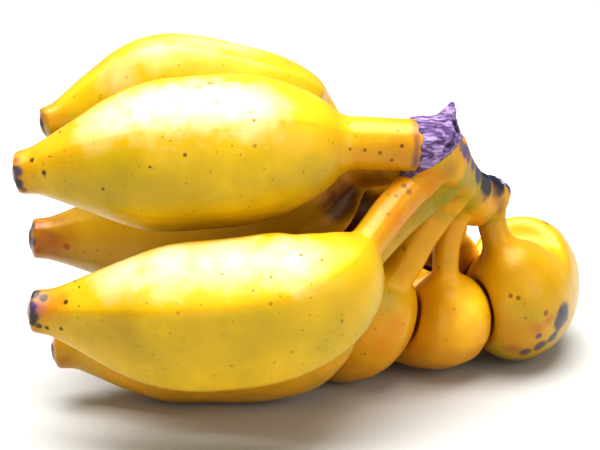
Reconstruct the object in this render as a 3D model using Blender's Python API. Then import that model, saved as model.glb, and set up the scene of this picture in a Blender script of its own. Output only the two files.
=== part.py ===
"""A hand of plantains: ten short, angular fingers on one curved crown, resting on its lower fingers.

Lengths are in millimetres and MM turns them into metres. X runs along the fingers of the front row,
with their tips at -X. Y goes back through the hand and Z is up. The hand lies on Z = 0, with the
origin under the middle of its box.
"""

import math
from dataclasses import dataclass

import bmesh
import bpy
from mathutils import Vector
from mathutils.geometry import interpolate_bezier

MM = 0.001

# Where the hand stands, so that the origin is under the middle of its box
HAND_SHIFT = (0.9, 1.8, 0.0)

# Clearance between two pieces that touch
GAP = 0.4

# The table's top is at Z = 0: the lowest fingers dip into it and their bottoms are pressed flat
TABLE_SIZE = (400.0, 400.0, 60.0)

# Length of each finger's stalk that belongs to the crown
STUB = 8.0

# A finger's skin: sides round it, rings along it and along its stub, and its five soft ridges
SIDES = 20
RINGS = 20
STUB_RINGS = 3
RIDGES = 5
RIDGE_HEIGHT = 0.03

# Length of the blunt end behind a finger's tip, and how far its last face draws in
BLUNT = 6.0
TIP_DRAW_IN = 0.88

# The shoulder swells fast and then slowly, the end tapers slowly and then fast
SWELL_POWER = 0.7
TAPER_POWER = 1.2

# How softly the swelling and the taper run into each other
BLEND = 3.0

# Each point of the skin lies at least this far ahead of the one behind it
LEAST_STEP = 2.0

# Edges sharper than this stay sharp when the skin is shaded smooth
SHARP_ANGLE = math.radians(35)

# Rings and squareness of the crown's own block
CROWN_SIDES = 24
CROWN_SQUARENESS = 2.6

YELLOW = (0.86, 0.58, 0.05)
DEEP_YELLOW = (0.74, 0.42, 0.03)
WOODY_MAUVE = (0.27, 0.20, 0.30)


@dataclass(frozen=True)
class Finger:
    """One fruit: its route from the crown to the tip, and its thickness along that route."""

    name: str
    route: tuple
    stalk: float
    girth: float
    tip: float
    swell_from: float
    swell: float
    taper: float
    wide: float = 1.0
    turn: float = 0.0
    colour: tuple = YELLOW


@dataclass(frozen=True)
class CrownStation:
    """One section of the crown's block: its middle, its half thickness and its half height."""

    middle: tuple
    half_depth: float
    half_height: float


# The front fingers come first: each later one is pressed in where an earlier one lies against it
FINGERS = (
    Finger(
        "finger_front_upper",
        ((42, -48, 94), (26, -51, 96), (6, -54, 97), (-47, -59, 94), (-79, -60, 91), (-99, -59, 88)),
        stalk=9.2, girth=26.6, tip=7.8, swell_from=33, swell=46, taper=52, turn=0.0,
    ),
    Finger(
        "finger_front_lower",
        ((39, -46, 86), (27, -57, 76), (18, -68, 67), (8, -76, 58), (-4, -80, 52), (-24, -83, 48),
         (-53, -84, 47), (-93, -81, 48)),
        stalk=6.8, girth=26.6, tip=7.8, swell_from=38, swell=48, taper=54, turn=0.75,
    ),
    Finger(
        "finger_back_upper",
        ((42, -31, 91), (24, -13, 87), (5, 1, 86), (-12, 0, 92), (-47, -4, 101), (-72, -7, 98), (-94, -13, 92.5)),
        stalk=8.0, girth=24.6, tip=7.0, swell_from=47, swell=34, taper=46, turn=0.4,
    ),
    Finger(
        "finger_back_middle",
        ((42, -41, 87), (26, -31, 84), (12, -24, 79), (1, -20, 71), (-12, -13, 61), (-26, -7, 55),
         (-47, -3, 52), (-74, -3, 50), (-100, -5, 50)),
        stalk=8.0, girth=23.0, tip=7.8, swell_from=32, swell=62, taper=54, turn=0.2,
    ),
    Finger(
        "finger_back_lower",
        ((45, -35, 80), (30, -41, 68), (16, -47, 54), (9, -49, 41), (0, -44, 31), (-16, -36, 24),
         (-47, -34, 22.5), (-90, -37, 19)),
        stalk=7.2, girth=24.2, tip=7.0, swell_from=55, swell=46, taper=44, turn=1.6,
    ),
    Finger(
        "finger_side_lower",
        ((50, -26, 76), (38, -24, 58), (30, -22, 43), (15, -16, 24), (-4, 1, 22), (-26, 19, 21), (-51, 38, 18)),
        stalk=7.2, girth=23.0, tip=7.0, swell_from=40, swell=34, taper=56, turn=0.5, colour=DEEP_YELLOW,
    ),
    Finger(
        "finger_side_narrow",
        ((54, -16, 70), (48, -15, 54), (47, -13, 39), (47, -7, 21), (34, 9, 17.5), (12, 31, 17.5), (-14, 57, 16)),
        stalk=5.2, girth=19.0, tip=6.5, swell_from=33, swell=25, taper=56, wide=0.98, turn=1.1,
        colour=DEEP_YELLOW,
    ),
    Finger(
        "finger_end",
        ((62, 1, 66), (64.5, 0, 52), (69, 0.5, 40), (73.5, 7, 26), (78, 32, 23.5), (80, 57, 22.5), (85.5, 84, 20)),
        stalk=5.8, girth=25.4, tip=7.0, swell_from=21, swell=34, taper=58, wide=0.86, turn=0.3,
    ),
    Finger(
        "finger_side_upper",
        ((50, -20, 77), (38, -7, 70), (24, 5, 63), (6, 21, 59), (-16, 43, 57), (-46, 73, 50)),
        stalk=7.2, girth=21.5, tip=7.0, swell_from=36, swell=40, taper=52, turn=0.8, colour=DEEP_YELLOW,
    ),
    Finger(
        "finger_side_inner",
        ((57, -9, 68), (51.5, 2, 57), (50, 14, 42), (46, 31, 27.5), (38, 48, 21), (33, 74, 20), (24, 105, 18)),
        stalk=5.4, girth=16.4, tip=6.5, swell_from=32, swell=34, taper=48, turn=1.4, colour=DEEP_YELLOW,
    ),
)

# The crown runs from its cut front end, past the spike at its top, back and down to the end finger
CROWN = (
    CrownStation((33, -49, 95), 9.0, 9.5),
    CrownStation((40, -47, 94.5), 9.5, 10.5),
    CrownStation((43, -41, 89.5), 9.0, 10.0),
    CrownStation((47, -32, 82), 8.0, 8.0),
    CrownStation((52, -21, 74), 7.5, 7.0),
    CrownStation((57, -9, 65.5), 7.0, 9.5),
    CrownStation((63, 1, 65), 6.5, 6.5),
    CrownStation((67, 5, 63), 5.0, 5.0),
)

# The splinter left standing at the top of the cut
SPIKE_FOOT = (44, -45, 100)
SPIKE_TOP = (47, -44, 109.5)
SPIKE_FOOT_RADIUS = 6.0
SPIKE_TOP_RADIUS = 0.8
SPIKE_SIDES = 8
SPIKE_RINGS = 3


def clear_scene():
    """Remove whatever the file opened with."""
    for item in list(bpy.data.objects):
        bpy.data.objects.remove(item, do_unlink=True)


def make_material(name, colour, roughness):
    """Return a Principled material of one colour."""
    material = bpy.data.materials.new(name)
    material.use_nodes = True
    shader = material.node_tree.nodes["Principled BSDF"]
    shader.inputs["Base Color"].default_value = (*colour, 1.0)
    shader.inputs["Roughness"].default_value = roughness
    shader.inputs["Metallic"].default_value = 0.0
    material.diffuse_color = (*colour, 1.0)
    return material


def smooth_route(route, steps=24):
    """Return many points on the smooth curve through the route's own points."""
    points = [Vector(point) for point in route]
    tangents = []
    for index in range(len(points)):
        before = points[max(index - 1, 0)]
        after = points[min(index + 1, len(points) - 1)]
        tangents.append((after - before) / 2.0)
    dense = [points[0]]
    for index in range(len(points) - 1):
        start, end = points[index], points[index + 1]
        handle_out = start + tangents[index] / 3.0
        handle_in = end - tangents[index + 1] / 3.0
        dense.extend(interpolate_bezier(start, handle_out, handle_in, end, steps + 1)[1:])
    return dense


def route_length(dense):
    """Return the length of a dense line of points."""
    return sum((b - a).length for a, b in zip(dense, dense[1:]))


def point_at(dense, distance):
    """Return the point at a distance along a dense line, run on straight past either end."""
    if distance <= 0.0:
        return dense[0] + (dense[1] - dense[0]).normalized() * distance
    walked = 0.0
    for a, b in zip(dense, dense[1:]):
        step = (b - a).length
        if walked + step >= distance:
            return a.lerp(b, (distance - walked) / step)
        walked += step
    return dense[-1] + (dense[-1] - dense[-2]).normalized() * (distance - walked)


def finger_radius(finger, distance, length):
    """Return the finger's radius at a distance from its root: stalk, shoulder, body, blunt tip."""
    risen = min(max((distance - finger.swell_from) / finger.swell, 0.0), 1.0)
    swelling = finger.stalk + (finger.girth - finger.stalk) * math.sin(risen**SWELL_POWER * math.pi / 2)
    left = min(max((length - BLUNT - distance) / finger.taper, 0.0), 1.0)
    taper = finger.tip + (finger.girth - finger.tip) * math.sin(left * math.pi / 2) ** TAPER_POWER
    share = min(max(0.5 + 0.5 * (taper - swelling) / BLEND, 0.0), 1.0)
    return taper * (1 - share) + swelling * share - BLEND * share * (1 - share)


def loft(name, rings):
    """Return a closed mesh object skinned over rings that have equal point counts."""
    bm = bmesh.new()
    loops = [[bm.verts.new(point * MM) for point in ring] for ring in rings]
    count = len(loops[0])
    for lower, upper in zip(loops, loops[1:]):
        for index in range(count):
            after = (index + 1) % count
            bm.faces.new((lower[index], lower[after], upper[after], upper[index]))
    bm.faces.new(loops[0][::-1])
    bm.faces.new(loops[-1])
    bmesh.ops.recalc_face_normals(bm, faces=bm.faces)
    mesh = bpy.data.meshes.new(name)
    bm.to_mesh(mesh)
    bm.free()
    item = bpy.data.objects.new(name, mesh)
    bpy.context.scene.collection.objects.link(item)
    return item


def loft_cutter(name, rings):
    """Return a closed mesh object over the rings, its skin then moved outward by the gap."""
    cutter = loft(name, rings)
    normals = [vertex.normal.copy() for vertex in cutter.data.vertices]
    for vertex, normal in zip(cutter.data.vertices, normals):
        vertex.co += normal * (GAP * MM)
    return cutter


def headings_along(centres):
    """Return the direction of a line of points at each of them."""
    last = len(centres) - 1
    return [(centres[min(i + 1, last)] - centres[max(i - 1, 0)]).normalized() for i in range(last + 1)]


def uprights_along(headings):
    """Return the upright of each section, carried back from the tip without twist."""
    upright = Vector((0, 0, 1))
    upright = (upright - upright.project(headings[-1])).normalized()
    uprights = [upright]
    for ahead, behind in zip(headings[::-1], headings[-2::-1]):
        upright = upright.copy()
        upright.rotate(ahead.rotation_difference(behind))
        uprights.insert(0, upright)
    return uprights


def finger_section(finger, centre, heading, upright, width, height):
    """Return one ring of a finger: an oval with five soft ridges."""
    across = heading.cross(upright)
    ring = []
    for side in range(SIDES):
        angle = 2 * math.pi * side / SIDES
        reach = 1 + RIDGE_HEIGHT * math.cos(RIDGES * (angle + finger.turn))
        offset = across * (math.cos(angle) * width) + upright * (math.sin(angle) * height)
        ring.append(centre + offset * reach)
    return ring


def unfold(rings, headings):
    """Move points forward where a tight bend would fold the skin back on itself."""
    for index in range(1, len(rings)):
        heading = headings[index]
        for side, point in enumerate(rings[index]):
            step = (point - rings[index - 1][side]).dot(heading)
            if step < LEAST_STEP:
                rings[index][side] = point + heading * (LEAST_STEP - step)


def stub_rings(finger):
    """Return the rings of the first stretch of a finger's stalk, which belongs to the crown."""
    dense = smooth_route(finger.route)
    stations = [STUB * index / (STUB_RINGS - 1) for index in range(STUB_RINGS)]
    centres = [point_at(dense, station) for station in stations]
    headings = headings_along(centres)
    sections = zip(centres, headings, uprights_along(headings))
    return [finger_section(finger, *section, finger.stalk, finger.stalk) for section in sections]


def finger_rings(finger):
    """Return the rings of a finger from its stub to its tip."""
    dense = smooth_route(finger.route)
    length = route_length(dense)
    stations = [STUB + (length - STUB) * index / (RINGS - 1) for index in range(RINGS)]
    stations[-2] = length - BLUNT / 2
    centres = [point_at(dense, station) for station in stations]
    headings = headings_along(centres)
    uprights = uprights_along(headings)
    rings = []
    for index, station in enumerate(stations):
        radius = finger_radius(finger, station, length)
        body = min(max((radius - finger.stalk) / (finger.girth - finger.stalk), 0.0), 1.0)
        draw_in = TIP_DRAW_IN if index == RINGS - 1 else 1.0
        width = radius * (1 + body * (finger.wide - 1)) * draw_in
        height = radius * draw_in
        rings.append(finger_section(finger, centres[index], headings[index], uprights[index], width, height))
    unfold(rings, headings)
    return rings


def crown_rings():
    """Return the rings of the crown's block, squarish sections that turn with its curve."""
    middles = [Vector(station.middle) for station in CROWN]
    headings = headings_along(middles)
    rings = []
    for middle, heading, station in zip(middles, headings, CROWN):
        across = heading.cross(Vector((0, 0, 1))).normalized()
        upright = across.cross(heading)
        ring = []
        for side in range(CROWN_SIDES):
            angle = 2 * math.pi * side / CROWN_SIDES
            c, s = math.cos(angle), math.sin(angle)
            x = math.copysign(abs(c) ** (2 / CROWN_SQUARENESS), c) * station.half_depth
            z = math.copysign(abs(s) ** (2 / CROWN_SQUARENESS), s) * station.half_height
            ring.append(middle + across * x + upright * z)
        rings.append(ring)
    return rings


def spike_rings():
    """Return the rings of the pointed splinter on the crown's cut."""
    foot, top = Vector(SPIKE_FOOT), Vector(SPIKE_TOP)
    heading = (top - foot).normalized()
    across = heading.cross(Vector((0, 1, 0))).normalized()
    back = heading.cross(across)
    rings = []
    for index in range(SPIKE_RINGS):
        share = index / (SPIKE_RINGS - 1)
        radius = SPIKE_FOOT_RADIUS + (SPIKE_TOP_RADIUS - SPIKE_FOOT_RADIUS) * share
        centre = foot.lerp(top, share)
        ring = []
        for side in range(SPIKE_SIDES):
            angle = 2 * math.pi * side / SPIKE_SIDES
            ring.append(centre + across * (radius * math.cos(angle)) + back * (radius * math.sin(angle)))
        rings.append(ring)
    return rings


def combine(item, tool, operation, solver="EXACT"):
    """Give item a Boolean with tool, and hide tool as a cutter."""
    boolean = item.modifiers.new(operation.lower() + " " + tool.name, "BOOLEAN")
    boolean.operation = operation
    boolean.solver = solver
    boolean.object = tool
    tool.hide_render = True
    tool.display_type = "WIRE"


def settle(item):
    """Turn an object's modifiers into its own mesh and shade it smooth between sharp edges."""
    depsgraph = bpy.context.evaluated_depsgraph_get()
    mesh = bpy.data.meshes.new_from_object(item.evaluated_get(depsgraph))
    item.modifiers.clear()
    item.data = mesh
    mesh.shade_smooth()
    mesh.set_sharp_from_angle(angle=SHARP_ANGLE)


def make_table():
    """Return the block that presses the resting fingers flat: its top is 0.0 high."""
    bm = bmesh.new()
    bmesh.ops.create_cube(bm, size=1.0)
    mesh = bpy.data.meshes.new("table_cutter")
    bm.to_mesh(mesh)
    bm.free()
    table = bpy.data.objects.new("table_cutter", mesh)
    table.scale = [length * MM for length in TABLE_SIZE]
    table.location = (0.0, 0.0, -TABLE_SIZE[2] / 2 * MM)
    bpy.context.scene.collection.objects.link(table)
    return table


def make_fingers(table):
    """Return the fingers, each pressed flat on the table and by the fingers before it, and their cutters."""
    fingers = []
    cutters = []
    for finger in FINGERS:
        rings = finger_rings(finger)
        item = loft(finger.name, rings)
        combine(item, table, "DIFFERENCE")
        for cutter in cutters:
            combine(item, cutter, "DIFFERENCE")
        item.data.materials.append(make_material(finger.name + "_skin", finger.colour, 0.45))
        cutters.append(loft_cutter(finger.name + "_cutter", rings))
        fingers.append(item)
    return fingers, cutters


def make_crown(cutters):
    """Return the crown: its block, its spike and a stub for each finger, cut clear of the fingers."""
    crown = loft("crown", crown_rings())
    tools = [loft("crown_spike", spike_rings())]
    for finger in FINGERS:
        tools.append(loft(finger.name + "_stub", stub_rings(finger)))
    for tool in tools:
        combine(crown, tool, "UNION", "MANIFOLD")
    for cutter in cutters:
        combine(crown, cutter, "DIFFERENCE", "MANIFOLD")
    crown.data.materials.append(make_material("crown_wood", WOODY_MAUVE, 0.8))
    return crown, tools


def main():
    """Build the hand."""
    clear_scene()
    table = make_table()
    fingers, cutters = make_fingers(table)
    crown, tools = make_crown(cutters)
    pieces = [crown, *fingers]
    for piece in pieces:
        settle(piece)
    for spare in (table, *cutters, *tools):
        bpy.data.objects.remove(spare, do_unlink=True)
    hand = bpy.data.objects.new("hand", None)
    bpy.context.scene.collection.objects.link(hand)
    hand.location = [distance * MM for distance in HAND_SHIFT]
    for piece in pieces:
        piece.parent = hand


if __name__ == "__main__":
    main()
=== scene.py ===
"""A hand of plantains: ten short, angular fingers grown on one woody crown, resting on its lower fingers.

Sizes are in millimetres and MM turns them into metres. X runs along the front fingers with their tips
at -X, Y goes back through the hand and Z is up, as in the solids.
"""

import logging
import math
from bisect import bisect_left
from dataclasses import dataclass, replace
from enum import Enum

import bpy
from mathutils import Matrix, Vector, noise
from mathutils.bvhtree import BVHTree
from mathutils.geometry import interpolate_bezier
from mathutils.kdtree import KDTree


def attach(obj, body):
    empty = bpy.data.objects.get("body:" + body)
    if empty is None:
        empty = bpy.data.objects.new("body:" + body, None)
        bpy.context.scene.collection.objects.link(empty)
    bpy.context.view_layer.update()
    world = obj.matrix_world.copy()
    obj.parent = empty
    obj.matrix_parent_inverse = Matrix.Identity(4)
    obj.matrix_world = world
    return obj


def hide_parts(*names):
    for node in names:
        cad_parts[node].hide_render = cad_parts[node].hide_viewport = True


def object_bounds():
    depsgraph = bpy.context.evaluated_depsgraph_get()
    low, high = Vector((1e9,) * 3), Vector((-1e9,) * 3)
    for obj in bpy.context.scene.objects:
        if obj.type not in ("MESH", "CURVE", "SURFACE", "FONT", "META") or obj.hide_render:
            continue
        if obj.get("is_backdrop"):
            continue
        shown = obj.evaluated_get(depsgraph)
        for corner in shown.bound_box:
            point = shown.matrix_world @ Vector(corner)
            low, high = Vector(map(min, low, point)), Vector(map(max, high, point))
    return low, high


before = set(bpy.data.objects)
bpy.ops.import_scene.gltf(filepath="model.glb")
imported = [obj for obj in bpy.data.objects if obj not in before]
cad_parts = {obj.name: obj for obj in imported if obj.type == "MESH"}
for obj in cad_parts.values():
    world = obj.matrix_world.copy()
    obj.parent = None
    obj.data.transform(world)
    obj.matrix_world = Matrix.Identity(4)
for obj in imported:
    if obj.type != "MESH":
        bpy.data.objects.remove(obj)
CAD_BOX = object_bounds()

LOG = logging.getLogger("hand_of_plantains")

MM = 0.001

# Where the fingers' routes and the crown's stations stand in the hand
HAND_SHIFT = Vector((0.9, 1.8, 0.0))

# Length of each stalk that belongs to the crown, and how far stalk and stub run into each other
STUB = 8.0
STUB_OVERLAP = 4.0
STUB_DRAW_IN = 0.6

# Clearance kept where one finger is pressed by another
PRESS_GAP = 0.5

# Each tip is blunt over its last stretch, and a dried flower end stands out of it. The draw-in, foot
# and top are shares of the tip's own size, and the blunt rings are shares of that stretch
NUB = 1.3
BLUNT = 6.0
TIP_DRAW_IN = 0.88
NUB_FOOT = 0.52
NUB_TOP = 0.44
NUB_STEP = 0.05
BLUNT_RINGS = (0.5, 0.12)
TIP_RINGS = 3

# The shoulder swells fast and then slowly, the end tapers slowly and then fast. BLEND rounds the
# place where the two meet, and LEAST_STEP keeps each ring ahead of the ring behind it
SWELL_POWER = 0.7
TAPER_POWER = 1.2
BLEND = 3.0
LEAST_STEP = 0.7

# A section is between a circle and a straight-sided figure, with its greatest radius at the ridges.
# The brown line on a ridge fades out over RIDGE_WIDTH degrees to each side
SIDES = 60
RIDGE_REACH = 1.025
RIDGE_WIDTH = 8.0

# Spacing of the rings along a finger, and of the points of its finished skin
RING_STEP = 3.0
SKIN_STEP = 1.05
CROWN_STEP = 0.7

# The skin is lumpy: widths and depths of broad and small lumps, and the share of them that is used
BROAD_LUMP = 17.0
BROAD_DEPTH = 0.35
SMALL_LUMP = 6.0
SMALL_DEPTH = 0.12
LUMPS_IN = 0.7

# The part of a finger that faces down, by how far its outward direction points up; that part is painted
# in shade
UNDER_FROM = -0.25
UNDER_TO = 0.55


def srgb(code: str) -> tuple[float, float, float, float]:
    """Turn an sRGB hex colour to linear red, green, blue and alpha.

    Args:
        code: Six hex digits after a number sign.

    Returns:
        The linear colour with an alpha of 1.
    """
    channels = [int(code[start:start + 2], 16) / 255 for start in (1, 3, 5)]
    linear = [c / 12.92 if c <= 0.04045 else ((c + 0.055) / 1.055) ** 2.4 for c in channels]
    return (*linear, 1.0)


def clamp(value: float) -> float:
    """Return the value kept between 0 and 1."""
    return min(max(value, 0.0), 1.0)


def smooth_step(low: float, high: float, value: float) -> float:
    """Return 0 below low, 1 above high and a soft rise between them."""
    share = clamp((value - low) / (high - low))
    return share * share * (3 - 2 * share)


def deselect() -> None:
    """Leave nothing selected, so that an operator acts on the new piece alone."""
    bpy.ops.object.select_all(action="DESELECT")


def make_active(item: bpy.types.Object) -> None:
    """Select one object alone and make it active.

    Args:
        item: The object.
    """
    deselect()
    item.select_set(True)
    bpy.context.view_layer.objects.active = item


def apply_modifier(item: bpy.types.Object, kind: str, **settings: object) -> None:
    """Add a modifier to an object with its settings and apply it.

    Args:
        item: The object to change.
        kind: Blender's name for the kind of modifier.
        settings: The modifier's own settings by name.
    """
    make_active(item)
    modifier = item.modifiers.new(kind.lower(), kind)
    for name, value in settings.items():
        setattr(modifier, name, value)
    bpy.ops.object.modifier_apply(modifier=modifier.name)


class Centreline:
    """The smooth line through the middle of a finger, with an upright at each of its points."""

    def __init__(self, route: tuple[tuple[float, float, float], ...], steps: int = 24) -> None:
        """Run a smooth curve through the route's points.

        Args:
            route: The points that the line goes through, from the crown to the tip.
            steps: How many short pieces each stretch between two points is cut into.
        """
        points = [Vector(point) + HAND_SHIFT for point in route]
        last = len(points) - 1
        tangents = [(points[min(i + 1, last)] - points[max(i - 1, 0)]) / 2 for i in range(last + 1)]
        self.points = [points[0]]
        for i in range(last):
            leave = points[i] + tangents[i] / 3
            arrive = points[i + 1] - tangents[i + 1] / 3
            self.points.extend(interpolate_bezier(points[i], leave, arrive, points[i + 1], steps + 1)[1:])
        self.reach = [0.0]
        for before, after in zip(self.points, self.points[1:]):
            self.reach.append(self.reach[-1] + (after - before).length)
        self.length = self.reach[-1]
        self.headings = self._headings()
        self.uprights = self._uprights()

    def _headings(self) -> list[Vector]:
        """Work out the line's direction at each of its points.

        Returns:
            Directions of length 1.
        """
        last = len(self.points) - 1
        spans = [self.points[min(i + 1, last)] - self.points[max(i - 1, 0)] for i in range(last + 1)]
        return [span.normalized() for span in spans]

    def _uprights(self) -> list[Vector]:
        """Carry the upright back from the tip without twist.

        Returns:
            The upright at each point, of length 1.
        """
        upright = Vector((0, 0, 1))
        upright = (upright - upright.project(self.headings[-1])).normalized()
        uprights = [upright]
        for ahead, behind in zip(self.headings[::-1], self.headings[-2::-1]):
            upright = upright.copy()
            upright.rotate(ahead.rotation_difference(behind))
            uprights.insert(0, upright)
        return uprights

    def frame_at(self, distance: float) -> tuple[Vector, Vector, Vector, Vector]:
        """Return the line's middle, heading, sideways direction and upright at a distance along it.

        Args:
            distance: Millimetres from the root. Past either end the line runs on straight.

        Returns:
            The middle in millimetres and three directions of length 1.
        """
        index = min(max(bisect_left(self.reach, distance), 1), len(self.reach) - 1)
        span = self.reach[index] - self.reach[index - 1]
        share = (distance - self.reach[index - 1]) / span
        middle = self.points[index - 1].lerp(self.points[index], share)
        turn = clamp(share)
        heading = self.headings[index - 1].lerp(self.headings[index], turn).normalized()
        upright = self.uprights[index - 1].lerp(self.uprights[index], turn)
        upright = (upright - upright.project(heading)).normalized()
        return middle, heading, heading.cross(upright), upright


# Colours that several marks share
# Painted highlight: a cream colour laid on the upper facets where the light falls
PAINTED_HIGHLIGHT = "#F8E8C0"
# Painted shade: olive on faces turned away from the light
PAINTED_SHADE_OLIVE = "#9A8404"
LEAF_GREEN = "#74780A"
# Painted bounce light: a brighter gold on lower edges
PAINTED_BOUNCE_GOLD = "#F4BC0C"
SPECK = "#5A3A10"
BRUISE = "#0C1638"
RUST = "#A0502E"
# Painted shade: dark brown in the hollows between the stalks
PAINTED_SHADE_BROWN = "#3A1604"


class Ripeness(Enum):
    """How far a finger's peel has turned."""

    YELLOW = "skin_yellow"
    AMBER = "skin_amber"


@dataclass(frozen=True)
class Mark:
    """A bruise, scar or blotch, or a painted highlight or painted shade, placed where the camera sees one
    pixel of the picture.

    The radius is in millimetres, strength is how much it covers at its middle, and soft is the share
    of its radius over which it fades out.
    """

    pixel: tuple[float, float]
    radius: float
    colour: str
    strength: float = 0.9
    soft: float = 0.4


@dataclass(frozen=True)
class View:
    """The picture's camera: its target, its distance and how far it looks down."""

    target: tuple[float, float, float] = (-3.1, -61.2, 71.7)
    distance: float = 900.0
    down_degrees: float = 16.0
    lens: float = 163.6
    sensor: float = 36.0
    width: int = 600
    height: int = 450

    def forward(self) -> Vector:
        """Return the direction that the camera looks in."""
        down = math.radians(self.down_degrees)
        return Vector((0.0, math.cos(down), -math.sin(down)))

    def location(self) -> Vector:
        """Return the camera's place in metres."""
        return (Vector(self.target) - self.forward() * self.distance) * MM

    def ray_through(self, pixel: tuple[float, float]) -> Vector:
        """Return the direction from the camera through one pixel of the picture.

        Args:
            pixel: Pixels from the picture's left and top edges.

        Returns:
            A direction of length 1.
        """
        down = math.radians(self.down_degrees)
        up = Vector((0.0, math.sin(down), math.cos(down)))
        across = self.sensor / self.lens / self.width
        side = Vector((1.0, 0.0, 0.0)) * ((pixel[0] - self.width / 2) * across)
        rise = up * ((self.height / 2 - pixel[1]) * across)
        return (self.forward() + side + rise).normalized()

    def build(self) -> bpy.types.Object:
        """Add the camera.

        Returns:
            The camera, which is also made the scene's own.
        """
        deselect()
        bpy.ops.object.camera_add(
            location=self.location(), rotation=(math.radians(90 - self.down_degrees), 0.0, 0.0)
        )
        camera = bpy.context.object
        camera.name = "picture_camera"
        camera.data.lens = self.lens
        camera.data.sensor_width = self.sensor
        bpy.context.scene.camera = camera
        return camera


VIEW = View()


class Nodes:
    """A material's node tree, filled one node at a time."""

    def __init__(self, name: str) -> None:
        """Start a material with a Principled shader.

        Args:
            name: The material's name.
        """
        self.material = bpy.data.materials.new(name)
        self.material.use_nodes = True
        self.tree = self.material.node_tree
        self.shader = self.tree.nodes["Principled BSDF"]

    def add(self, kind: str, settings: dict | None = None, **links: object) -> bpy.types.Node:
        """Add a node with its settings, and give its inputs values or links.

        Args:
            kind: The node's type without its ShaderNode prefix.
            settings: The node's own properties by name.
            links: What each input gets, by its name with _ for each space or i and a number for its
                place: another node's output, or a plain value.

        Returns:
            The new node.
        """
        node = self.tree.nodes.new("ShaderNode" + kind)
        for name, value in (settings or {}).items():
            setattr(node, name, value)
        for name, source in links.items():
            socket = node.inputs[int(name[1:]) if name[1:].isdigit() else name.replace("_", " ")]
            if isinstance(source, bpy.types.NodeSocket):
                self.tree.links.new(source, socket)
            else:
                socket.default_value = source
        return node

    def lay_stains_and_painted_light(
        self, colour: object, place: object, wobble: object, marks: list[tuple[Vector, Mark]]
    ) -> bpy.types.NodeSocket:
        """Lay bruises, scars, painted highlights and painted shade over a colour, each with a ragged
        edge.

        Args:
            colour: The colour so far.
            place: The point's place on the object.
            wobble: A noise that makes the edges ragged.
            marks: The marks, each with its place in metres.

        Returns:
            The colour with the marks on it.
        """
        for centre, mark in marks:
            radius = mark.radius * MM
            away = self.add("VectorMath", {"operation": "DISTANCE"}, i0=place, i1=centre).outputs["Value"]
            push = self.add(
                "MapRange", Value=wobble, To_Min=-0.5 * radius, To_Max=0.5 * radius
            ).outputs["Result"]
            spread = self.add("Math", {"operation": "ADD"}, i0=away, i1=push).outputs[0]
            mark_cover = self.add(
                "MapRange", Value=spread, From_Min=radius * (1 - mark.soft), From_Max=radius * 1.1,
                To_Min=mark.strength, To_Max=0.0,
            ).outputs["Result"]
            colour = self.add(
                "Mix", {"data_type": "RGBA"}, i0=mark_cover, i6=colour, i7=srgb(mark.colour)
            ).outputs[2]
        return colour

    def finish(self, colour: object, roughness: object, normal: object) -> bpy.types.Material:
        """Link the last colour, roughness and bump to the shader.

        Args:
            colour: The finished colour.
            roughness: The finished roughness.
            normal: The last bump's normal.

        Returns:
            The finished material.
        """
        self.tree.links.new(colour, self.shader.inputs["Base Color"])
        self.tree.links.new(roughness, self.shader.inputs["Roughness"])
        self.tree.links.new(normal, self.shader.inputs["Normal"])
        return self.material


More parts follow.
